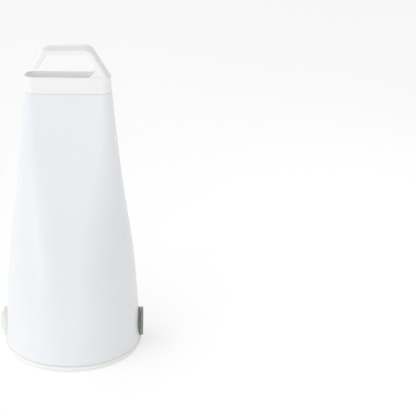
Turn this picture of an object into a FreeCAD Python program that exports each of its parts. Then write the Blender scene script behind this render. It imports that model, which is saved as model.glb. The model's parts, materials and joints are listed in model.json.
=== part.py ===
import FreeCAD, Part
import math, os
from FreeCAD import Vector as V

os.makedirs("parts", exist_ok=True)

# Camping lantern with a torch in its base. Millimetres, +Z up, origin on the
# body's axis at the level of the feet. X is the wide direction of the flat top:
# the push button is on -X, the charging port on +X, the front is -Y.

# ---------------------------------------------------------------- dimensions
R_BASE = 42.6          # base radius
Z_FACE = 0.5           # base ring face above the floor
Z_RING = 3.4           # top of the visible base ring
Z_SHELL = 3.42         # lower edge of the translucent body
H_SEAM = 165.4         # upper edge of the translucent body
WALL = 2.0             # body wall
CAP_GAP = 0.02         # joint between body and cap
CAP_H = 10.0           # cap top above the seam
Z_SIDE = 13.0          # height of the button and port axes

# outline of the body at six heights: half width (X), half depth (Y), half width of
# the flat front and back, half depth of the flat sides
Z_KNOT = [0.0, 33.1, 66.2, 99.2, 132.3, 165.4]
HALF_W = [42.6, 40.5, 37.65, 33.05, 29.0, 25.75]
HALF_D = [42.6, 38.8, 29.6, 17.2, 10.2, 7.25]
FLAT_X = [0.2, 3.6, 6.3, 11.5, 18.8, 20.05]
FLAT_Y = [0.2, 0.25, 0.2, 0.2, 0.4, 1.55]
Z_LOFT = [3.5, 12.0, 22.0, 33.1, 49.0, 66.2, 83.0, 99.2, 116.0, 132.3, 149.0, 165.4]

# hook: strap with a flat inside and a crowned outside
HOOK_IN_Z = 23.1       # underside of the bar above the seam, at the free leg
HOOK_RISE = 0.7        # the bar rises this much towards the closed leg
HOOK_IN_X = 11.9       # half width of the opening at the bar
HOOK_SLOPE = 0.62      # legs: mm sideways per mm down
HOOK_T = 4.2           # thickness at the crown
HOOK_EDGE = 2.4        # thickness at the edges
HOOK_HALF_D = 6.4      # half depth
HOOK_TIP_Z = 14.8      # free tip above the seam
HOOK_BEND = 2.0        # inner bend radius
HOOK_FOOT_X = 20.9     # inner face of the foot
HOOK_FOOT_R = 8.0      # inner radius of the foot's bend
HOOK_ROOT_R = 4.6      # fillet where the leg meets the cap
RECESS_DEPTH = 5.2     # hollow in the cap's top, under the hook
RECESS_X0, RECESS_X1 = -24.5, 15.5
RECESS_HALF_D = 6.1
RECESS_DRAFT = 0.9     # its walls lean in by this much towards its floor
RECESS_FLOOR_R = 1.6
CAP_ROOF = 2.0         # thickness under the hollow's floor

# base and torch
R_SEAT = 36.2          # seat of the lens ring in the base ring
R_SPIGOT = 39.5        # part of the base ring inside the body
Z_SPIGOT = 8.4
R_SCREW = 38.5         # base screws and feet, at 45 degrees
R_CH_SCREW = 37.8      # chassis screws
R_WINDOW = 31.3        # clear opening of the lens ring
R_DISH = 27.5
R_NECK = 9.2
R_COB = 8.6

# side controls
R_BEZEL = 9.15
R_TUBE = 7.2
R_HOLE = 7.35
R_LIP = 7.9
R_BUTTON = 5.92
R_BUTTON_BORE = 6.0
X_BUTTON = -45.8       # top of the button's dome
X_BEZEL = -43.7
BUTTON_TRAVEL = 1.6
R_PORT = 8.95
R_PORT_BORE = 5.6
R_PLUG_STEM = 5.52
X_PORT_RING = 42.4
X_PLUG0, X_PLUG1 = 42.65, 44.1
R_DISHED, DISHED = 6.6, 0.35   # shallow recess in the cover's face, inside a raised rim

# inside
Z_FLOOR0, Z_FLOOR1 = 18.8, 20.8
X_WALL0, X_WALL1 = 23.4, 24.9
X_BOARD0, X_BOARD1 = 25.0, 26.6
Z_CELL, R_CELL, L_CELL = 31.6, 9.2, 65.0
Z_CARRIER0, Z_CARRIER1 = 43.0, 45.0
WIRE_R = 0.6


# ---------------------------------------------------------------- helpers
def natural_spline(xs, ys):
    n = len(xs)
    h = [xs[i + 1] - xs[i] for i in range(n - 1)]
    a = [0.0] * n
    b = [1.0] * n
    c = [0.0] * n
    d = [0.0] * n
    for i in range(1, n - 1):
        a[i] = h[i - 1]
        b[i] = 2 * (h[i - 1] + h[i])
        c[i] = h[i]
        d[i] = 6 * ((ys[i + 1] - ys[i]) / h[i] - (ys[i] - ys[i - 1]) / h[i - 1])
    for i in range(1, n):
        w = a[i] / b[i - 1]
        b[i] -= w * c[i - 1]
        d[i] -= w * d[i - 1]
    m = [0.0] * n
    m[-1] = d[-1] / b[-1]
    for i in range(n - 2, -1, -1):
        m[i] = (d[i] - c[i] * m[i + 1]) / b[i]

    def f(x):
        x = min(max(x, xs[0]), xs[-1])
        i = max(k for k in range(n - 1) if xs[k] <= x)
        t0, t1 = xs[i + 1] - x, x - xs[i]
        return (
            m[i] * t0 ** 3 / (6 * h[i]) + m[i + 1] * t1 ** 3 / (6 * h[i])
            + (ys[i] / h[i] - m[i] * h[i] / 6) * t0
            + (ys[i + 1] / h[i] - m[i + 1] * h[i] / 6) * t1
        )
    return f


f_w = natural_spline(Z_KNOT, HALF_W)
f_d = natural_spline(Z_KNOT, HALF_D)
f_fx = natural_spline(Z_KNOT, FLAT_X)
f_fy = natural_spline(Z_KNOT, FLAT_Y)


def outline(z, off=0.0):
    a, b = f_w(z) + off, f_d(z) + off
    return a, b, min(max(f_fx(z), 0.2), a - 3.0), min(max(f_fy(z), 0.2), b - 3.0)


def tulip(a, b, fx, fy, z):
    """Closed wire: flats of half lengths fx (front, back) and fy (sides), joined by quarter ellipses."""
    e = []
    for sx, sy in ((1, 1), (-1, 1), (-1, -1), (1, -1)):
        side, corner, front = V(sx * a, sy * fy, z), V(sx * a, sy * b, z), V(sx * fx, sy * b, z)
        c = Part.BezierCurve()
        c.setPoles([side, corner, front] if sx * sy > 0 else [front, corner, side])
        c.setWeight(2, math.sqrt(0.5))
        e.append(c.toShape())
        if sx * sy > 0:
            e.append(Part.LineSegment(front, V(-sx * fx, sy * b, z)).toShape())
        else:
            e.append(Part.LineSegment(side, V(sx * a, -sy * fy, z)).toShape())
    return Part.Wire(e)


def rounded(a, b, r, z):
    """Closed wire: rectangle of half sizes a, b with corner radius r."""
    q = r * math.sqrt(0.5)
    p = [V(a, -(b - r), z), V(a, b - r, z), V(a - r, b, z), V(-(a - r), b, z),
         V(-a, b - r, z), V(-a, -(b - r), z), V(-(a - r), -b, z), V(a - r, -b, z)]
    mid = [V(a - r + q, b - r + q, z), V(-(a - r) - q, b - r + q, z),
           V(-(a - r) - q, -(b - r) - q, z), V(a - r + q, -(b - r) - q, z)]
    e = []
    for k in range(4):
        e.append(Part.LineSegment(p[2 * k], p[2 * k + 1]).toShape())
        e.append(Part.Arc(p[2 * k + 1], mid[k], p[(2 * k + 2) % 8]).toShape())
    return Part.Wire(e)


def prism(a, b, r, z0, z1):
    return Part.Face(rounded(a, b, r, z0)).extrude(V(0, 0, z1 - z0))


def body_loft(off, below=0.0, above=0.0):
    ws = []
    for i, z in enumerate(Z_LOFT):
        zz = z
        if i == 0:
            zz = z - below
        if i == len(Z_LOFT) - 1:
            zz = z + above
        ws.append(tulip(*outline(z, off), zz))
    return Part.makeLoft(ws, True, False, False, 5)


def box(x0, x1, y0, y1, z0, z1):
    return Part.makeBox(x1 - x0, y1 - y0, z1 - z0, V(x0, y0, z0))


def cyl(r, p, axis, h):
    return Part.makeCylinder(r, h, V(*p), V(*axis))


def cz(r, z0, z1, x=0.0, y=0.0):
    return Part.makeCylinder(r, z1 - z0, V(x, y, z0))


def cx(r, x0, x1, y=0.0, z=Z_SIDE):
    return Part.makeCylinder(r, x1 - x0, V(x0, y, z), V(1, 0, 0))


def revolve_z(pts):
    w = Part.makePolygon([V(r, 0, z) for r, z in pts] + [V(pts[0][0], 0, pts[0][1])])
    return Part.Face(w).revolve(V(0, 0, 0), V(0, 0, 1), 360)


def revolve_x(edges_or_pts):
    """Profile of (x, r) points turned about the side axis."""
    pts = edges_or_pts
    w = Part.makePolygon([V(x, 0, Z_SIDE + r) for x, r in pts] + [V(pts[0][0], 0, Z_SIDE + pts[0][1])])
    return Part.Face(w).revolve(V(0, 0, Z_SIDE), V(1, 0, 0), 360)


def polar(r, deg):
    return r * math.cos(math.radians(deg)), r * math.sin(math.radians(deg))


def fillet_near(s, radius, test):
    es = [e for e in s.Edges if test(e)]
    return s.makeFillet(radius, es)


def bent_line(pts, radii):
    """Wire of straight runs joined by tangent arcs, one radius per inner corner."""
    edges = []
    cur = pts[0]
    for i in range(1, len(pts) - 1):
        a, b, c = pts[i - 1], pts[i], pts[i + 1]
        u = (a - b).normalize()
        w = (c - b).normalize()
        ang = math.acos(max(-1, min(1, u.dot(w))))
        t = radii[i - 1] / math.tan(ang / 2)
        p1, p2 = b + u * t, b + w * t
        bis = (u + w).normalize()
        cen = b + bis * (radii[i - 1] / math.sin(ang / 2))
        edges.append(Part.LineSegment(cur, p1).toShape())
        edges.append(Part.Arc(p1, cen - bis * radii[i - 1], p2).toShape())
        cur = p2
    edges.append(Part.LineSegment(cur, pts[-1]).toShape())
    return Part.Wire(edges)


def tube(points, r, bend):
    """Round lead along straight runs joined by tangent arcs."""
    pts = [V(*p) for p in points]
    path = bent_line(pts, [bend] * (len(pts) - 2))
    d = (pts[1] - pts[0]).normalize()
    prof = Part.Wire([Part.Circle(pts[0], d, r).toShape()])
    return path.makePipeShell([prof], True, False)


def coil(radius, wire, pitch, height, x0, z):
    """Round-wire spring along +X from x0, on the line y = 0 at height z."""
    h = Part.makeHelix(pitch, height, radius)
    prof = Part.Wire([Part.Circle(V(radius, 0, 0), V(0, 1, 0), wire).toShape()])
    s = Part.Wire(h.Edges).makePipeShell([prof], True, True)
    s.rotate(V(0, 0, 0), V(0, 1, 0), 90)
    s.translate(V(x0, 0, z))
    return s


def group(shapes):
    return Part.makeCompound(shapes)


NODES = {}


def put(name, s):
    NODES[name] = s


# ---------------------------------------------------------------- translucent body
outer = body_loft(0.0)
inner = body_loft(-WALL, 1.0, 1.0)
shell = outer.cut(inner)
bosses, boss_holes = [], []
for k in range(4):
    x, y = polar(R_SCREW, 45 + 90 * k)
    bosses.append(cz(2.6, Z_SPIGOT + 0.2, 17.0, x, y))
    boss_holes.append(cz(1.06, Z_SPIGOT, 15.5, x, y))
shell = shell.fuse(bosses)
shell = shell.cut(group(boss_holes + [cx(R_HOLE, -50, -30), cx(R_HOLE, 30, 50)]))
put("diffuser_shell", shell)

# ---------------------------------------------------------------- cap with hook
zc0, zc1 = H_SEAM + CAP_GAP, H_SEAM + CAP_H
cap = Part.makeLoft([rounded(25.55, 7.1, 5.6, zc0), rounded(25.4, 6.8, 5.35, zc1)], True, True)
cap = fillet_near(cap, 0.55, lambda e: all(abs(v.Z - zc1) < 1e-4 for v in e.Vertexes))
rx, rl = (RECESS_X0 + RECESS_X1) / 2, (RECESS_X1 - RECESS_X0) / 2
zb = zc1 - RECESS_DEPTH
recess = Part.makeLoft([
    rounded(rl + 0.02, RECESS_HALF_D + 0.02, 4.72, zc1 + 0.1),
    rounded(rl - RECESS_DRAFT, RECESS_HALF_D - RECESS_DRAFT, 3.8, zb),
], True, True)
recess = fillet_near(recess, RECESS_FLOOR_R, lambda e: all(abs(v.Z - zb) < 1e-4 for v in e.Vertexes))
recess = recess.fuse(prism(rl + 0.02, RECESS_HALF_D + 0.02, 4.72, zc1 + 0.1, zc1 + 6.0))
recess.translate(V(rx, 0, 0))

k = HOOK_SLOPE
ln = math.hypot(1.0, k)
ux, uz = k / ln, 1.0 / ln                   # leg direction: sideways, down
turn = math.atan(k)                         # lean of the legs from upright
zr = lambda z: H_SEAM + z
z_corner = HOOK_IN_Z - (HOOK_FOOT_X - HOOK_IN_X) / k
corners = [
    (HOOK_FOOT_X, 3.5), (HOOK_FOOT_X, z_corner),
    (HOOK_IN_X - k * HOOK_RISE, HOOK_IN_Z + HOOK_RISE), (-HOOK_IN_X, HOOK_IN_Z),
    (-(HOOK_IN_X + k * (HOOK_IN_Z - HOOK_TIP_Z)), HOOK_TIP_Z),
]
path = bent_line([V(x, 0, zr(z)) for x, z in corners], [HOOK_FOOT_R, HOOK_BEND, HOOK_BEND])
x0, d0, zz = HOOK_FOOT_X, HOOK_HALF_D, zr(3.5)
rr = 0.7
q = rr * (1 - math.sqrt(0.5))
sec = Part.Wire([
    Part.LineSegment(V(x0, -(d0 - rr), zz), V(x0, d0 - rr, zz)).toShape(),
    Part.Arc(V(x0, d0 - rr, zz), V(x0 + q, d0 - q, zz), V(x0 + rr, d0, zz)).toShape(),
    Part.LineSegment(V(x0 + rr, d0, zz), V(x0 + HOOK_EDGE, d0, zz)).toShape(),
    Part.Arc(V(x0 + HOOK_EDGE, d0, zz), V(x0 + HOOK_T, 0, zz), V(x0 + HOOK_EDGE, -d0, zz)).toShape(),
    Part.LineSegment(V(x0 + HOOK_EDGE, -d0, zz), V(x0 + rr, -d0, zz)).toShape(),
    Part.Arc(V(x0 + rr, -d0, zz), V(x0 + q, -(d0 - q), zz), V(x0, -(d0 - rr), zz)).toShape(),
])
hook = path.makePipeShell([sec], True, False)
hook = hook.common(prism(25.4, 6.75, 5.3, zr(3.0), zr(32.0)))

# web on each side of the hollow, where the cap's rim curves up into the closed leg
zf = CAP_H - 0.05
zc = zf + HOOK_ROOT_R
xl = HOOK_IN_X + k * (HOOK_IN_Z - zc)
xc = xl - HOOK_ROOT_R * ln
nx, nz = uz, ux
am = (-math.pi / 2 + math.atan2(nz, nx)) / 2
w0 = V(xc, 0, zr(zf))
w1 = V(xc + HOOK_ROOT_R * math.cos(am), 0, zr(zc + HOOK_ROOT_R * math.sin(am)))
w2 = V(xc + HOOK_ROOT_R * nx, 0, zr(zc + HOOK_ROOT_R * nz))
pw = [w2, V(w2.x + 1.2, 0, w2.z), V(22.2, 0, zr(8.5)), V(xc, 0, zr(8.5)), w0]
edges = [Part.Arc(w0, w1, w2).toShape()]
for i in range(4):
    edges.append(Part.LineSegment(pw[i], pw[i + 1]).toShape())
wedge = Part.Face(Part.Wire(edges)).extrude(V(0, 2 * HOOK_HALF_D, 0))
wedge.translate(V(0, -HOOK_HALF_D, 0))
wedge = fillet_near(wedge, 0.6, lambda e: isinstance(e.Curve, Part.Circle))
cap = cap.fuse(wedge).cut(recess)

spigot = prism(23.5, 4.95, 3.45, H_SEAM - 8.0, zc0 + 1.0)
groove = prism(26.0, 8.0, 3.0, H_SEAM - 4.4, H_SEAM - 3.0).cut(prism(22.85, 4.3, 2.8, H_SEAM - 5.0, H_SEAM - 2.0))
spigot = spigot.cut(groove)
cap = cap.fuse([hook, spigot])
cap = cap.cut(prism(21.8, 3.3, 2.0, H_SEAM - 9.0, zb - CAP_ROOF))
cap = cap.removeSplitter()
put("hook_cap", cap)
put("cap_seal", prism(23.85, 5.25, 3.75, H_SEAM - 4.3, H_SEAM - 3.1).cut(prism(22.9, 4.35, 2.85, H_SEAM - 5, H_SEAM - 2)))

# ---------------------------------------------------------------- base ring
ring = revolve_z([
    (R_SEAT + 0.3, Z_FACE), (R_BASE - 0.7, Z_FACE), (R_BASE - 0.2, Z_FACE + 0.25), (R_BASE, Z_FACE + 0.7),
    (R_BASE, Z_RING), (R_SPIGOT, Z_RING), (R_SPIGOT, Z_SPIGOT - 0.4), (R_SPIGOT - 0.4, Z_SPIGOT),
    (R_SEAT, Z_SPIGOT), (R_SEAT, Z_FACE + 0.3),
])
cuts, screws, feet = [], [], []
for i in range(4):
    x, y = polar(R_SCREW, 45 + 90 * i)
    cuts += [cz(2.0, Z_FACE - 1, Z_RING, x, y), cz(1.15, Z_RING - 1, Z_SPIGOT + 1, x, y)]
    slot = box(R_SCREW, R_SCREW + 2.0, -1.15, 1.15, Z_RING, Z_SPIGOT + 1)   # open to the outside above the face
    slot.rotate(V(0, 0, 0), V(0, 0, 1), 45 + 90 * i)
    cuts.append(slot)
    s = cz(1.8, Z_RING - 1.2, Z_RING, x, y).fuse(cz(1.0, Z_RING, 14.5, x, y)).removeSplitter()
    s = s.cut(box(x - 1.2, x + 1.2, y - 0.25, y + 0.25, Z_RING - 1.3, Z_RING - 0.7))
    s = s.cut(box(x - 0.25, x + 0.25, y - 1.2, y + 1.2, Z_RING - 1.3, Z_RING - 0.7))
    screws.append(s)
    f = Part.makeCone(1.35, 1.95, Z_FACE, V(x, y, 0)).fuse(cz(1.95, Z_FACE, 2.1, x, y)).removeSplitter()
    feet.append(fillet_near(f, 0.2, lambda e: all(abs(v.Z) < 1e-6 for v in e.Vertexes)))
CH_SCREW = [polar(R_CH_SCREW, a) for a in (68, 112, 248, 292)]
cuts += [cz(1.06, 4.0, Z_SPIGOT + 1, x, y) for x, y in CH_SCREW]
for s in (-1, 1):
    lo, hi = sorted((s * 30.0, s * 45.0))
    cuts.append(box(lo, hi, -10, 10, 4.4, 12).common(cz(41.5, 4.4, 12)))
ring = ring.cut(group(cuts))
put("base_ring", ring)
put("base_screws", group(screws))
put("base_feet", group(feet))
put("base_seal", cz(40.05, Z_RING + 0.05, Z_RING + 0.9).cut(cz(39.55, Z_RING - 1, Z_SHELL + 2)))

# ---------------------------------------------------------------- torch in the base
put("lens_ring", revolve_z([
    (R_WINDOW + 0.9, 0.8), (R_SEAT - 0.5, 0.8), (R_SEAT - 0.2, 1.1), (R_SEAT - 0.2, 5.8), (34.3, 5.8), (34.3, 2.25), (R_WINDOW, 2.25), (R_WINDOW, 1.6),
]))
put("torch_lens", revolve_z([(0, 2.3), (33.6, 2.3), (34.1, 2.8), (34.1, 4.1), (0, 4.1)]))
put("lens_seal", revolve_z([(32.7, 4.12), (34.1, 4.12), (34.1, 4.88), (32.7, 4.88)]))
dish = [(28.1, 4.9), (34.1, 4.9), (34.1, 5.9), (28.4, 5.9), (28.1, 6.5), (10.6, 10.2), (R_NECK, 10.2)]
n = 8
for i in range(n + 1):
    t = i / n
    r = R_NECK + (R_DISH - R_NECK) * t
    dish.append((r, 9.6 - (9.6 - 5.5) * (0.75 * t + 0.25 * t * t)))
put("reflector", revolve_z(dish))
put("cob_board", cz(13.0, 10.3, 11.8))
put("cob_emitter", revolve_z([(0, 9.45), (R_COB - 0.3, 9.45), (R_COB, 9.65), (R_COB, 10.28), (0, 10.28)]))
sink = cz(21.5, 11.85, 13.85)
fins = []
for i in range(-4, 5):
    fins.append(box(-0.6 + 4.6 * i, 0.6 + 4.6 * i, -21.4, 21.4, 13.6, 17.0))
fins = [f.common(cz(21.5, 13.0, 17.5)) for f in fins]
posts = [cz(3.2, 13.6, 18.7, 0, s * 16.0) for s in (-1, 1)]
sink = sink.fuse(fins + posts).removeSplitter()
sink = sink.cut(group([cz(1.3, 12.6, 19, 0, s * 16.0) for s in (-1, 1)]))
put("heat_sink", sink)
put("heat_sink_screws", group([
    cz(2.6, 20.85, 22.2, 0, s * 16.0).fuse(cz(1.25, 13.2, 20.85, 0, s * 16.0)).removeSplitter().cut(
        box(-1.6, 1.6, s * 16.0 - 0.3, s * 16.0 + 0.3, 21.5, 22.5)) for s in (-1, 1)]))

# ---------------------------------------------------------------- chassis
ch = cz(33.8, 6.0, Z_FLOOR1).cut(cz(31.6, 5.0, Z_FLOOR0))
flange = cz(39.1, 8.5, 10.3).cut(cz(33.0, 8.0, 11.0))
sect = []
for s in (-1, 1):
    w = Part.makePolygon([V(0, 0, 8), V(*polar(60, s * 60), 8), V(*polar(70, s * 90), 8), V(*polar(60, s * 120), 8), V(0, 0, 8)])
    sect.append(Part.Face(w).extrude(V(0, 0, 3)))
flange = group([flange.common(s) for s in sect])
pockets = [box(X_WALL1, 45, -17, 17, 5, 25), box(-45, -X_WALL1, -17, 17, 5, 25)]
ch = ch.cut(group(pockets))
ch = ch.fuse(flange.Solids)
walls = [box(X_WALL0, X_WALL1, -13, 13, 8.2, Z_FLOOR1 - 0.5), box(-X_WALL1, -X_WALL0, -13, 13, 8.2, Z_FLOOR1 - 0.5)]
saddle = cx(11.0, -36.4, 36.4, 0, Z_CELL).cut(cx(9.5, -40, 40, 0, Z_CELL)).common(box(-40, 40, -12, 12, 10, Z_CELL))
ends = [box(35.1, 36.4, -8.0, 8.0, 24.0, 39.5), box(-36.4, -35.1, -8.0, 8.0, 24.0, 39.5)]
ch = ch.fuse(walls + [saddle] + ends)
holes = [cz(1.15, 8, 11, x, y) for x, y in CH_SCREW]
LEG = [(19.0, 17.0), (-19.0, 17.0), (-19.0, -17.0), (19.0, -17.0)]
holes += [cz(1.3, 18, 22, x, y) for x, y in LEG]
holes += [cz(1.4, 18, 22, 0, s * 16.0) for s in (-1, 1)]
BOARD_SCREW = [(-10.5, 10.0), (10.5, 10.0)]
for y, z in BOARD_SCREW:
    holes += [cx(0.95, 23.0, 25.5, y, z), cx(0.95, -25.5, -23.0, y, z)]
for s in (-1, 1):
    holes += [cx(1.0, 23.0, 25.5, s * 3.2, 11.05), cx(1.0, 23.0, 25.5, s * 8.0, 17.9), cx(1.0, -25.5, -23.0, s * 8.0, 17.9)]
ch = ch.cut(group(holes)).removeSplitter()
put("chassis", ch)
put("chassis_screws", group([
    cz(1.5, 10.35, 11.6, x, y).fuse(cz(1.0, 4.6, 10.35, x, y)).removeSplitter().cut(
        box(x - 1.2, x + 1.2, y - 0.25, y + 0.25, 11.0, 12.0)) for x, y in CH_SCREW]))

# ---------------------------------------------------------------- cell and contacts
cell = cx(R_CELL, -L_CELL / 2, L_CELL / 2, 0, Z_CELL)
cell = fillet_near(cell, 0.8, lambda e: e.Length > 40)
cell = cell.fuse(cx(3.6, L_CELL / 2 - 0.5, L_CELL / 2 + 0.6, 0, Z_CELL)).removeSplitter()
put("battery_cell", cell)
plus = box(34.62, 35.02, -6.0, 6.0, 25.5, 39.0)
plus = plus.fuse(Part.makeCone(3.4, 2.2, 1.45, V(34.62, 0, Z_CELL), V(-1, 0, 0))).removeSplitter()
put("battery_contact_plus", plus)
minus = box(-35.02, -34.62, -6.0, 6.0, 25.5, 39.0)
leaf = Part.Face(Part.makePolygon([
    V(-34.62, 0, 27.2), V(-34.62, 0, 28.4), V(-33.4, 0, 31.0), V(-32.9, 0, 31.6), V(-33.4, 0, 32.2),
    V(-34.0, 0, 33.4), V(-33.7, 0, 33.5), V(-33.1, 0, 32.4), V(-32.56, 0, 31.6), V(-33.1, 0, 30.8), V(-34.3, 0, 27.2), V(-34.62, 0, 27.2)]))
leaf = leaf.extrude(V(0, 5.0, 0))
leaf.translate(V(0, -2.5, 0))
minus = minus.fuse(leaf).removeSplitter()
put("battery_contact_minus", minus)

# ---------------------------------------------------------------- upward lights
car = cz(27.0, Z_CARRIER0, Z_CARRIER1)
car = car.fuse([cz(3.0, Z_FLOOR1 + 0.05, Z_CARRIER0 + 0.5, x, y) for x, y in LEG]
               + [box(s * 15 - 2, s * 15 + 2, -4, 4, 40.9, Z_CARRIER0 + 0.5) for s in (-1, 1)])
LED_SCREW = [polar(9.0, a) for a in (90, 210, 330)]
car = car.cut(group([cz(1.25, Z_FLOOR1, 29.5, x, y) for x, y in LEG] + [cz(1.06, 42, 46, x, y) for x, y in LED_SCREW])).removeSplitter()
put("led_carrier", car)
put("carrier_screws", group([
    cz(2.4, 17.25, 18.75, x, y).fuse(cz(1.2, 18.75, 27.5, x, y)).removeSplitter().cut(
        box(x - 1.5, x + 1.5, y - 0.25, y + 0.25, 17.0, 17.9)) for x, y in LEG]))
put("led_board", cz(25.0, 45.1, 46.5).cut(group([cz(1.15, 45, 47, x, y) for x, y in LED_SCREW])))
leds = []
for i in range(12):
    a = 30.0 * i
    b = box(-2.5, 2.5, -2.5, 2.5, 46.52, 47.9).fuse(cz(1.9, 47.8, 48.3)).removeSplitter()
    b.translate(V(19.5, 0, 0))
    b.rotate(V(0, 0, 0), V(0, 0, 1), a)
    leds.append(b)
put("lantern_leds", group(leds))
put("led_screws", group([
    cz(2.1, 46.55, 47.8, x, y).fuse(cz(1.0, 43.2, 46.55, x, y)).removeSplitter().cut(
        box(x - 1.3, x + 1.3, y - 0.25, y + 0.25, 47.2, 48.0)) for x, y in LED_SCREW]))

# ---------------------------------------------------------------- button side (-X)
fence = group([body_loft(0.06), Part.Face(tulip(*outline(Z_SHELL, 0.06), Z_SHELL - 2.0)).extrude(V(0, 0, 2.0))])
bz = cx(R_BEZEL, X_BEZEL, -38.6)
bz = fillet_near(bz, 1.0, lambda e: all(abs(v.X - X_BEZEL) < 1e-6 for v in e.Vertexes))
bz = bz.cut(fence)
bz = bz.fuse([cx(R_TUBE, X_BEZEL + 1.2, -37.4), cx(R_LIP, -38.85, -38.0)])
bz = bz.cut(cx(R_BUTTON_BORE, -50, -30)).removeSplitter()
bz = fillet_near(bz, 0.45, lambda e: all(abs(v.X - X_BEZEL) < 1e-6 for v in e.Vertexes) and abs(e.Length - 2 * math.pi * R_BUTTON_BORE) < 0.5)
put("button_bezel", bz)

dome = []
for i in range(9):                                   # shallow crown of the button's face
    r = 4.9 * i / 8
    dome.append((X_BUTTON + 0.55 * (r / 4.9) ** 2, r))
for i in range(1, 7):                                # rounded edge
    a = math.radians(90.0 * i / 6)
    dome.append((X_BUTTON + 0.55 + 1.02 * (1 - math.cos(a)), 4.9 + 1.02 * math.sin(a)))
prof = dome + [(-37.1, R_BUTTON), (-37.1, 6.6), (-36.3, 6.6), (-36.3, 4.4), (-43.4, 4.4), (-43.4, 2.0), (-36.3, 2.0), (-36.3, 0.0)]
put("button_cap", revolve_x(prof))
put("switch_plunger", cx(1.5, -36.25, -30.2))
put("button_spring", coil(3.2, 0.33, 1.95, 10.3, -42.8, Z_SIDE))
sw = box(-32.0, -26.65, -4.2, 4.2, Z_SIDE - 4.2, Z_SIDE + 4.2).cut(cx(1.58, -33, -28.3))
put("push_switch", sw)


def board(sign):
    lo, hi = sorted((sign * X_BOARD0, sign * X_BOARD1))
    b = box(lo, hi, -13.0, 13.0, 8.2, 20.0)
    h = [cx(1.0, lo - 1, hi + 1, y, z) for y, z in BOARD_SCREW]
    return b.cut(group(h))


put("switch_board", board(-1))
put("control_board", board(1))
bs = []
for s in (-1, 1):
    for y, z in BOARD_SCREW:
        lo, hi = sorted((s * 26.62, s * 27.7))
        head = cx(1.6, lo, hi, y, z)
        lo, hi = sorted((s * 23.7, s * 26.62))
        scr = head.fuse(cx(0.9, lo, hi, y, z)).removeSplitter()
        lo, hi = sorted((s * 27.2, s * 28.0))
        bs.append(scr.cut(box(lo, hi, y - 1.0, y + 1.0, z - 0.2, z + 0.2)))
put("board_screws", group(bs))

# ---------------------------------------------------------------- charging side (+X)
pb = cx(R_PORT, 38.6, X_PORT_RING)
pb = pb.cut(fence)
pb = pb.fuse([cx(R_TUBE, 37.6, X_PORT_RING - 0.3), cx(R_LIP, 38.0, 38.85)])
pb = pb.cut(cx(R_PORT_BORE, 30, 50)).removeSplitter()
put("port_bezel", pb)
plug = cx(R_PORT, X_PLUG0, X_PLUG1)
plug = fillet_near(plug, 0.4, lambda e: all(abs(v.X - X_PLUG1) < 1e-6 for v in e.Vertexes))
plug = plug.fuse(cx(R_PLUG_STEM, 39.2, X_PLUG0 + 0.5)).removeSplitter()
plug = plug.cut(revolve_x([(X_PLUG1 + 0.2, 0.0), (X_PLUG1 + 0.2, R_DISHED + 0.4), (X_PLUG1 - DISHED, R_DISHED), (X_PLUG1 - DISHED, 0.0)]))
put("port_plug", plug)
soc = box(26.65, 37.2, -4.5, 4.5, Z_SIDE - 1.65, Z_SIDE + 1.65)
soc = soc.cut(box(29.0, 38.0, -3.9, 3.9, Z_SIDE - 1.05, Z_SIDE + 1.05))
soc = soc.fuse(box(28.5, 36.4, -3.2, 3.2, Z_SIDE - 0.35, Z_SIDE + 0.35)).removeSplitter()
put("charge_socket", soc)
put("control_parts", group([
    box(26.62, 27.8, -3.0, 3.0, 16.0, 19.4),
    box(26.62, 29.4, 5.4, 8.6, 11.6, 15.0),
    box(26.62, 28.9, -8.4, -5.4, 11.4, 14.4),
    box(26.62, 27.4, -7.6, -5.6, 16.4, 18.2),
]))

# ---------------------------------------------------------------- leads
def leads(s):
    """One colour of leads: s = +1 on the +Y side, -1 on the -Y side."""
    out = [
        cx(WIRE_R, 12.8, 24.96, s * 3.2, 11.05),
        cx(WIRE_R, -24.96, 24.96, s * 8.0, 17.9),
        tube([(26.64, s * 9.0, 17.0), (29.6, s * 9.0, 17.0), (29.6, s * 15.0, 17.0), (29.6, s * 15.0, 45.8), (20.5, s * 15.0, 45.8)], WIRE_R, 1.4),
    ]
    if s > 0:
        out.append(tube([(34.4, 6.05, 35.5), (34.4, 12.2, 35.5), (34.4, 12.2, 19.0), (26.64, 12.2, 19.0)], WIRE_R, 2.0))
    else:
        out.append(tube([(-34.4, -6.05, 35.5), (-34.4, -12.2, 35.5), (31.5, -12.2, 35.5), (31.5, -12.2, 19.0), (26.64, -12.2, 19.0)], WIRE_R, 2.0))
    return group(out)


put("red_leads", leads(1))
put("black_leads", leads(-1))

# ---------------------------------------------------------------- write the pieces
for name, s in NODES.items():
    s.exportStep("parts/%s.step" % name)
    print(name, len(s.Solids), s.isValid(), round(s.Volume, 1))
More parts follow.
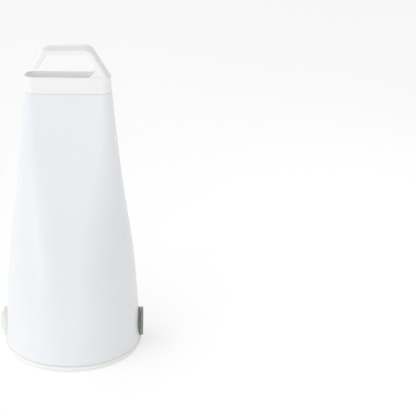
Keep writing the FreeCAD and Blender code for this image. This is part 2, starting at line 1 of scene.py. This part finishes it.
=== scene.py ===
import json
import math
import bpy
import bmesh
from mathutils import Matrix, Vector


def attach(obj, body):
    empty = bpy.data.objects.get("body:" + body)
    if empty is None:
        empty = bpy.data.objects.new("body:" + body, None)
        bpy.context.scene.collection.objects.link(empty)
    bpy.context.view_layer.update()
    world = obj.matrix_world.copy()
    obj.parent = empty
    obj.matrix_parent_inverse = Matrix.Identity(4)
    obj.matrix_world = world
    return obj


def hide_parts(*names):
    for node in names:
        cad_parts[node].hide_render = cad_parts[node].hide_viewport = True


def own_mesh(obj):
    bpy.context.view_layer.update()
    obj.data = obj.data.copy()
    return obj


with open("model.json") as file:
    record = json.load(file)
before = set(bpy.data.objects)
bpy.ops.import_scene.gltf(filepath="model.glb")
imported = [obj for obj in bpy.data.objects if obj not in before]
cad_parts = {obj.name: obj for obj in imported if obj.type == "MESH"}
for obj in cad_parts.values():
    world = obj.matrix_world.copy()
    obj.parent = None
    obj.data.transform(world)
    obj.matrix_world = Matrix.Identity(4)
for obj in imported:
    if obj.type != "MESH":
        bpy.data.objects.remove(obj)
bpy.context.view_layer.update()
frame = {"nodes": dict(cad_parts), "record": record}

NODES = frame["nodes"]
scene = bpy.context.scene
MM = 0.001


# ------------------------------------------------------------------ camera
cam_data = bpy.data.cameras.new("cam")
cam_data.sensor_fit = "HORIZONTAL"
cam_data.sensor_width = 36.0
cam_data.lens = 112.881
cam_data.clip_start = 0.01
cam_data.clip_end = 60.0
cam = bpy.data.objects.new("cam", cam_data)
scene.collection.objects.link(cam)
cam.location = (0.0559056, -0.7355952, 0.4028730)
cam.rotation_euler = (math.radians(67.0333928), math.radians(-1.1148208), math.radians(-1.6998422))
scene.camera = cam

scene.view_settings.view_transform = "Standard"


# ------------------------------------------------------------------ light
def area(name, azimuth, elevation, distance, size, power, target=(0, 0, 0.09), color=(1, 1, 1)):
    """A soft box; azimuth 0 is in front of the lantern, positive to its right."""
    a, e = math.radians(azimuth), math.radians(elevation)
    t = Vector(target)
    loc = t + distance * Vector((math.sin(a) * math.cos(e), -math.cos(a) * math.cos(e), math.sin(e)))
    d = bpy.data.lights.new(name, "AREA")
    d.shape = "RECTANGLE"
    d.size, d.size_y = size
    d.energy = power
    d.color = color
    o = bpy.data.objects.new(name, d)
    scene.collection.objects.link(o)
    o.location = loc
    o.rotation_euler = (t - loc).to_track_quat("-Z", "Y").to_euler()
    return o


# a white room: even light from all round, more from the left near the horizon
world = bpy.data.worlds.new("studio")
scene.world = world
world.use_nodes = True
wnt = world.node_tree
bg = wnt.nodes["Background"]
bg.inputs["Strength"].default_value = 1.0
way = wnt.nodes.new("ShaderNodeSeparateXYZ")
wnt.links.new(wnt.nodes.new("ShaderNodeTexCoord").outputs["Generated"], way.inputs[0])


def fade(axis, a, b, lo, hi):
    n = wnt.nodes.new("ShaderNodeMapRange")
    n.interpolation_type = "SMOOTHSTEP"
    n.inputs["From Min"].default_value = a
    n.inputs["From Max"].default_value = b
    n.inputs["To Min"].default_value = lo
    n.inputs["To Max"].default_value = hi
    wnt.links.new(way.outputs[axis], n.inputs["Value"])
    return n.outputs["Result"]


def joined(op, a, b):
    n = wnt.nodes.new("ShaderNodeMath")
    n.operation = op
    for k, v in enumerate((a, b)):
        if isinstance(v, float):
            n.inputs[k].default_value = v
        else:
            wnt.links.new(v, n.inputs[k])
    return n.outputs["Value"]


glow = joined("MULTIPLY", fade("X", -0.2, 0.75, 0.985, 0.0), fade("Z", 0.35, 0.85, 1.0, 0.0))
wnt.links.new(joined("ADD", glow, fade("Z", 0.35, 0.85, 0.327, 0.670)), bg.inputs["Color"])

area("strip", -45, 8, 1.2, (0.14, 0.40), 1.0)
area("front_low", -8, 12, 1.5, (1.2, 0.5), 0.40)
area("right_front", 55, 32, 0.45, (0.2, 0.2), 0.18, target=(0.02, 0, 0.165))
area("right_back", 110, 30, 0.45, (0.2, 0.2), 0.21, target=(0.02, 0, 0.165))


# ------------------------------------------------------------------ materials
def material(name):
    m = bpy.data.materials.new(name)
    m.use_nodes = True
    nt = m.node_tree
    return m, nt, nt.nodes["Principled BSDF"], nt.nodes.new("ShaderNodeTexCoord").outputs["Object"]


def stretch(nt, co, scale, turn=(0, 0, 0)):
    n = nt.nodes.new("ShaderNodeMapping")
    n.inputs["Scale"].default_value = scale
    n.inputs["Rotation"].default_value = turn
    nt.links.new(co, n.inputs["Vector"])
    return n.outputs["Vector"]


def noise(nt, co, scale, detail=3.0, rough=0.5, distort=0.0):
    n = nt.nodes.new("ShaderNodeTexNoise")
    n.inputs["Scale"].default_value = scale
    n.inputs["Detail"].default_value = detail
    n.inputs["Roughness"].default_value = rough
    n.inputs["Distortion"].default_value = distort
    nt.links.new(co, n.inputs["Vector"])
    return n.outputs["Fac"]


def cells(nt, co, scale, feature="F1", randomness=1.0):
    n = nt.nodes.new("ShaderNodeTexVoronoi")
    n.feature = feature
    n.inputs["Scale"].default_value = scale
    n.inputs["Randomness"].default_value = randomness
    nt.links.new(co, n.inputs["Vector"])
    return n.outputs["Distance"]


def waves(nt, co, scale, axis="X", rings=False, distort=0.0, detail=0.0):
    n = nt.nodes.new("ShaderNodeTexWave")
    n.wave_type = "RINGS" if rings else "BANDS"
    if rings:
        n.rings_direction = axis
    else:
        n.bands_direction = axis
    n.inputs["Scale"].default_value = scale
    n.inputs["Distortion"].default_value = distort
    n.inputs["Detail"].default_value = detail
    nt.links.new(co, n.inputs["Vector"])
    return n.outputs["Fac"]


def ramp(nt, fac, stops):
    r = nt.nodes.new("ShaderNodeValToRGB")
    e = r.color_ramp.elements
    e[0].position, e[0].color = stops[0][0], (*stops[0][1], 1)
    e[1].position, e[1].color = stops[-1][0], (*stops[-1][1], 1)
    for p, c in stops[1:-1]:
        k = e.new(p)
        k.color = (*c, 1)
    nt.links.new(fac, r.inputs["Fac"])
    return r.outputs["Color"]


def span(nt, fac, lo, hi, a=0.3, b=0.7):
    r = nt.nodes.new("ShaderNodeMapRange")
    r.inputs["From Min"].default_value = a
    r.inputs["From Max"].default_value = b
    r.inputs["To Min"].default_value = lo
    r.inputs["To Max"].default_value = hi
    nt.links.new(fac, r.inputs["Value"])
    return r.outputs["Result"]


def math2(nt, op, a, b):
    n = nt.nodes.new("ShaderNodeMath")
    n.operation = op
    for k, v in enumerate((a, b)):
        if isinstance(v, (int, float)):
            n.inputs[k].default_value = v
        else:
            nt.links.new(v, n.inputs[k])
    return n.outputs["Value"]


def tint(nt, fac, a, b):
    """Colour a where fac is 0, colour b where it is 1."""
    n = nt.nodes.new("ShaderNodeMix")
    n.data_type = "RGBA"
    ins = [s for s in n.inputs if s.type == "RGBA"]
    for s, v in zip(ins, (a, b)):
        if isinstance(v, tuple):
            s.default_value = (*v, 1)
        else:
            nt.links.new(v, s)
    nt.links.new(fac, n.inputs["Factor"])
    return [s for s in n.outputs if s.type == "RGBA"][0]


def bump(nt, height, strength, distance, below=None):
    b = nt.nodes.new("ShaderNodeBump")
    b.inputs["Strength"].default_value = strength
    b.inputs["Distance"].default_value = distance
    nt.links.new(height, b.inputs["Height"])
    if below is not None:
        nt.links.new(below, b.inputs["Normal"])
    return b.outputs["Normal"]


def scratches(nt, co, scale, turn, thin=0.03):
    """Sparse hairline marks: 1 on a mark, 0 elsewhere."""
    n = noise(nt, stretch(nt, co, (scale, scale, scale * 0.012), turn), 1.0, 1.0)
    return span(nt, n, 0.0, 1.0, 0.74 - thin, 0.74 + thin)


def moulded(name, lo, hi, rough, cloud=30.0, grain=2600.0, grain_h=1.2e-6, wave=70.0, wave_h=1.5e-5, marks=0.35, sss=0.0,
            radius=(0.003, 0.003, 0.0034), coat=0.0):
    """Moulded plastic: faint flow cloud and fine mottle in its colour, handling smudges and hairline marks in its gloss,
    a fine moulded grain and a very slight waviness in its surface."""
    m, nt, b, co = material(name)
    c = math2(nt, "ADD", math2(nt, "MULTIPLY", noise(nt, co, cloud, 5.0, 0.55, 0.6), 0.8),
              math2(nt, "MULTIPLY", noise(nt, co, cloud * 24, 2.0), 0.2))
    col = ramp(nt, c, [(0.2, lo), (0.8, hi)])
    nt.links.new(col, b.inputs["Base Color"])
    hair = scratches(nt, co, 2600.0, (0.10, -0.14, 0.9))
    smudge = noise(nt, co, 48.0, 5.0, 0.62, 0.4)
    r = math2(nt, "ADD", span(nt, smudge, 1.5 * rough[0] - 0.5 * rough[1], 1.5 * rough[1] - 0.5 * rough[0], 0.0, 1.0), math2(nt, "MULTIPLY", hair, 0.02))
    nt.links.new(r, b.inputs["Roughness"])
    n = bump(nt, noise(nt, co, wave, 2.0), 1.0, wave_h)
    n = bump(nt, noise(nt, co, grain, 2.0), 1.0, grain_h, n)
    n = bump(nt, hair, -marks, 4e-6, n)
    nt.links.new(n, b.inputs["Normal"])
    b.inputs["Specular IOR Level"].default_value = 0.5
    b.inputs["IOR"].default_value = 1.49
    if sss:
        b.inputs["Subsurface Weight"].default_value = sss
        b.inputs["Subsurface Radius"].default_value = (1.0, 1.0, 1.15)
        b.inputs["Subsurface Scale"].default_value = radius[0]
    if coat:
        b.inputs["Coat Weight"].default_value = coat
        b.inputs["Coat Roughness"].default_value = 0.12
    return m


def rubber(name, lo, hi, rough=(0.52, 0.72)):
    """Soft rubber: matte, fine pitted skin, pale dust held in the pits."""
    m, nt, b, co = material(name)
    g = noise(nt, co, 3200.0, 3.0, 0.6)
    dust = span(nt, noise(nt, co, 130.0, 5.0, 0.6), 0.0, 0.35, 0.45, 0.72)
    col = ramp(nt, noise(nt, co, 85.0, 4.0), [(0.3, lo), (0.7, hi)])
    col = tint(nt, math2(nt, "MULTIPLY", dust, g), col, tuple(min(1.0, v * 1.18 + 0.02) for v in hi))
    nt.links.new(col, b.inputs["Base Color"])
    nt.links.new(span(nt, noise(nt, co, 300.0, 4.0), rough[0], rough[1]), b.inputs["Roughness"])
    nt.links.new(bump(nt, g, 0.7, 6e-6), b.inputs["Normal"])
    b.inputs["Sheen Weight"].default_value = 0.12
    b.inputs["Sheen Roughness"].default_value = 0.45
    return m


def metal(name, lo, hi, rough, axis="Z", turned=0.0, brushed=None, stain=(0.45, 0.42, 0.38), stained=0.12):
    """Metal: fine tool marks along or round its axis, uneven gloss, a thin stain in patches."""
    m, nt, b, co = material(name)
    if brushed:
        g = noise(nt, stretch(nt, co, brushed), 1.0, 3.0, 0.6)
    else:
        g = math2(nt, "ADD", math2(nt, "MULTIPLY", waves(nt, co, turned, axis, True, 1.2, 2.0), 0.5),
                  math2(nt, "MULTIPLY", noise(nt, co, 2400.0, 3.0), 0.5))
    patch = span(nt, noise(nt, co, 160.0, 5.0, 0.65), 0.0, stained, 0.5, 0.75)
    col = tint(nt, patch, ramp(nt, g, [(0.25, lo), (0.75, hi)]), stain)
    nt.links.new(col, b.inputs["Base Color"])
    b.inputs["Metallic"].default_value = 1.0
    r = math2(nt, "ADD", span(nt, g, rough[0], rough[1], 0.25, 0.75), math2(nt, "MULTIPLY", patch, 0.6))
    nt.links.new(r, b.inputs["Roughness"])
    nt.links.new(bump(nt, g, 0.4, 5e-6), b.inputs["Normal"])
    return m


def board(name, mask_lo, mask_hi, copper, axis_a="X", axis_b="Z", pitch=330.0):
    """Circuit board: solder mask over raised tracks that run two ways, with small bare pads."""
    m, nt, b, co = material(name)
    bent = nt.nodes.new("ShaderNodeVectorMath")
    bent.operation = "SNAP"
    bent.inputs[1].default_value = (0.0032, 0.0032, 0.0032)
    nt.links.new(co, bent.inputs[0])
    pick = span(nt, noise(nt, bent.outputs["Vector"], 900.0, 0.0), 0.0, 1.0, 0.49, 0.51)
    ta = span(nt, waves(nt, co, pitch, axis_a), 0.0, 1.0, 0.62, 0.70)
    tb = span(nt, waves(nt, co, pitch, axis_b), 0.0, 1.0, 0.62, 0.70)
    track = math2(nt, "ADD", math2(nt, "MULTIPLY", ta, pick), math2(nt, "MULTIPLY", tb, math2(nt, "SUBTRACT", 1.0, pick)))
    pad = span(nt, cells(nt, co, 420.0, "F1", 0.25), 1.0, 0.0, 0.16, 0.20)
    pad = math2(nt, "MULTIPLY", pad, span(nt, noise(nt, co, 210.0, 1.0), 0.0, 1.0, 0.56, 0.58))
    base = tint(nt, track, ramp(nt, noise(nt, co, 240.0, 4.0), [(0.3, mask_lo), (0.7, mask_hi)]), tuple(v * 1.35 for v in mask_hi))
    nt.links.new(tint(nt, pad, base, copper), b.inputs["Base Color"])
    nt.links.new(math2(nt, "MULTIPLY", pad, 0.9), b.inputs["Metallic"])
    nt.links.new(span(nt, noise(nt, co, 420.0, 4.0), 0.28, 0.46), b.inputs["Roughness"])
    nt.links.new(bump(nt, math2(nt, "ADD", track, pad), 0.8, 2.5e-5), b.inputs["Normal"])
    return m


def phosphor(name, lo, hi, pitch):
    """Phosphor gel over a grid of small dies: granular, each die a slightly paler square under it."""
    m, nt, b, co = material(name)
    wx = span(nt, waves(nt, co, pitch, "X"), 0.0, 1.0, 0.30, 0.55)
    wy = span(nt, waves(nt, co, pitch, "Y"), 0.0, 1.0, 0.30, 0.55)
    die = math2(nt, "MULTIPLY", wx, wy)
    g = noise(nt, co, 5200.0, 4.0, 0.65)
    col = ramp(nt, g, [(0.3, lo), (0.7, hi)])
    col = tint(nt, math2(nt, "MULTIPLY", die, 0.30), col, (min(1, hi[0] * 1.03), min(1, hi[1] * 1.05), hi[2] * 1.6 + 0.012))
    nt.links.new(col, b.inputs["Base Color"])
    nt.links.new(span(nt, noise(nt, co, 700.0, 4.0), 0.34, 0.52), b.inputs["Roughness"])
    nt.links.new(bump(nt, math2(nt, "ADD", math2(nt, "MULTIPLY", die, 0.6), math2(nt, "MULTIPLY", g, 0.4)), 0.5, 2e-5), b.inputs["Normal"])
    b.inputs["Subsurface Weight"].default_value = 0.15
    b.inputs["Subsurface Scale"].default_value = 0.0006
    return m


def clear(name):
    """Clear polycarbonate: a trace of colour, wipe haze and hairline marks, slight mould ripple."""
    m, nt, b, co = material(name)
    nt.links.new(ramp(nt, noise(nt, co, 60.0, 3.0), [(0.3, (0.955, 0.965, 0.965)), (0.7, (0.985, 0.99, 0.988))]), b.inputs["Base Color"])
    b.inputs["Transmission Weight"].default_value = 1.0
    b.inputs["IOR"].default_value = 1.49
    hair = scratches(nt, co, 2400.0, (0.2, 0.1, 0.7))
    haze = span(nt, noise(nt, co, 90.0, 5.0, 0.6, 0.5), 0.0, 0.045, 0.5, 0.75)
    nt.links.new(math2(nt, "ADD", haze, math2(nt, "MULTIPLY", hair, 0.12)), b.inputs["Roughness"])
    n = bump(nt, noise(nt, co, 45.0, 1.0), 1.0, 8e-6)
    nt.links.new(bump(nt, hair, -0.3, 3e-6, n), b.inputs["Normal"])
    return m


def wrap(name, lo, hi):
    """Shrunk film: gloss, fine wrinkles stretched along Z, slight scuffs."""
    m, nt, b, co = material(name)
    w = noise(nt, stretch(nt, co, (900.0, 900.0, 90.0)), 1.0, 4.0, 0.6, 0.8)
    nt.links.new(ramp(nt, noise(nt, co, 70.0, 4.0), [(0.3, lo), (0.7, hi)]), b.inputs["Base Color"])
    nt.links.new(span(nt, noise(nt, co, 210.0, 5.0, 0.6), 0.16, 0.36), b.inputs["Roughness"])
    nt.links.new(bump(nt, w, 0.6, 1.6e-5), b.inputs["Normal"])
    b.inputs["Coat Weight"].default_value = 0.35
    b.inputs["Coat Roughness"].default_value = 0.15
    return m


MAT = {
    "body_milky": moulded("body_milky", (0.800, 0.822, 0.848), (0.826, 0.845, 0.872), (0.305, 0.365), cloud=22.0, sss=0.3, wave=34.0, wave_h=1.2e-5),
    "cap_white": moulded("cap_white", (0.842, 0.846, 0.838), (0.868, 0.871, 0.862), (0.195, 0.235), cloud=45.0, sss=0.12, radius=(0.0016,) * 3),
    "base_white": moulded("base_white", (0.848, 0.842, 0.818), (0.872, 0.866, 0.842), (0.30, 0.37), cloud=40.0, marks=0.6, sss=0.12, radius=(0.0016,) * 3),
    "lens_ring_white": moulded("lens_ring_white", (0.842, 0.840, 0.824), (0.868, 0.866, 0.850), (0.30, 0.35), cloud=55.0),
    "bezel_white": moulded("bezel_white", (0.800, 0.800, 0.786), (0.832, 0.832, 0.818), (0.31, 0.38), cloud=110.0),
    "button_white": moulded("button_white", (0.805, 0.803, 0.785), (0.840, 0.838, 0.820), (0.34, 0.46), cloud=150.0, grain=3800.0, grain_h=2.5e-6),
    "port_grey": moulded("port_grey", (0.165, 0.166, 0.160), (0.190, 0.191, 0.185), (0.34, 0.44), cloud=110.0),
    "plug_rubber": rubber("plug_rubber", (0.262, 0.264, 0.254), (0.302, 0.304, 0.294)),
    "foot_rubber": rubber("foot_rubber", (0.790, 0.785, 0.762), (0.835, 0.830, 0.808)),
    "seal_rubber": rubber("seal_rubber", (0.480, 0.490, 0.500), (0.545, 0.555, 0.565)),
    "lens_clear": clear("lens_clear"),
    "reflector_chrome": metal("reflector_chrome", (0.86, 0.87, 0.875), (0.93, 0.935, 0.94), (0.13, 0.20), turned=260.0, stain=(0.80, 0.80, 0.79), stained=0.08),
    "cob_yellow": phosphor("cob_yellow", (0.900, 0.850, 0.012), (0.960, 0.925, 0.022), 190.0),
    "board_white": board("board_white", (0.76, 0.76, 0.74), (0.83, 0.83, 0.81), (0.80, 0.72, 0.55), "X", "Y"),
    "board_green": board("board_green", (0.012, 0.095, 0.035), (0.022, 0.150, 0.055), (0.82, 0.70, 0.42), "Y", "Z"),
    "sink_aluminium": metal("sink_aluminium", (0.78, 0.79, 0.80), (0.90, 0.905, 0.91), (0.24, 0.42), brushed=(500.0, 500.0, 9000.0)),
    "screw_steel": metal("screw_steel", (0.56, 0.57, 0.58), (0.74, 0.75, 0.76), (0.18, 0.34), turned=900.0),
    "chassis_white": moulded("chassis_white", (0.770, 0.770, 0.755), (0.805, 0.805, 0.790), (0.40, 0.52), cloud=38.0, grain=1500.0, grain_h=4e-6),
    "cell_wrap": wrap("cell_wrap", (0.020, 0.095, 0.260), (0.030, 0.130, 0.330)),
    "contact_nickel": metal("contact_nickel", (0.66, 0.64, 0.60), (0.80, 0.78, 0.73), (0.18, 0.32), brushed=(6000.0, 700.0, 700.0)),
    "led_phosphor": phosphor("led_phosphor", (0.780, 0.690, 0.240), (0.850, 0.770, 0.330), 320.0),
    "switch_black": moulded("switch_black", (0.018, 0.018, 0.019), (0.030, 0.030, 0.031), (0.42, 0.56), cloud=160.0, grain=2400.0, grain_h=4e-6),
    "spring_steel": metal("spring_steel", (0.60, 0.60, 0.61), (0.78, 0.78, 0.79), (0.16, 0.30), axis="X", turned=1200.0),
    "socket_steel": metal("socket_steel", (0.62, 0.62, 0.63), (0.80, 0.80, 0.81), (0.20, 0.34), brushed=(7000.0, 800.0, 800.0)),
    "chip_black": moulded("chip_black", (0.016, 0.016, 0.017), (0.026, 0.026, 0.027), (0.50, 0.62), cloud=260.0, grain=5200.0, grain_h=3e-6),
    "lead_red": wrap("lead_red", (0.42, 0.016, 0.012), (0.56, 0.026, 0.020)),
    "lead_black": wrap("lead_black", (0.014, 0.014, 0.015), (0.028, 0.028, 0.029)),
}

SLOT_OF = {row["node"]: row["material_slot"] for row in frame["record"]["subparts"]}
for n, o in NODES.items():
    o.data.materials.clear()
    o.data.materials.append(MAT[SLOT_OF[n]])

# ------------------------------------------------------------------ return coil, a copy of the button spring fixed to the lantern body
coil = bpy.data.objects.new("return_coil", NODES["button_spring"].data.copy())
scene.collection.objects.link(coil)
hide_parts("button_spring")
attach(coil, "lantern")
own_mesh(coil)

# ------------------------------------------------------------------ floor
bm = bmesh.new()
bmesh.ops.create_grid(bm, x_segments=2, y_segments=2, size=5.0)
me = bpy.data.meshes.new("floor")
bm.to_mesh(me)
bm.free()
floor = bpy.data.objects.new("floor", me)
scene.collection.objects.link(floor)
fm, fnt, fb, fco = material("floor_pale")
fnt.links.new(ramp(fnt, noise(fnt, fco, 3.0, 4.0), [(0.3, (0.925, 0.925, 0.925)), (0.7, (0.945, 0.945, 0.945))]), fb.inputs["Base Color"])
fnt.links.new(span(fnt, noise(fnt, fco, 40.0, 3.0), 0.70, 0.82), fb.inputs["Roughness"])
fnt.links.new(bump(fnt, noise(fnt, fco, 900.0, 2.0), 0.2, 5e-6), fb.inputs["Normal"])
fb.inputs["Specular IOR Level"].default_value = 0.2
fb.inputs["Emission Color"].default_value = (1.0, 1.0, 1.0, 1)   # a lit table top
fb.inputs["Emission Strength"].default_value = 0.207
floor.data.materials.append(fm)
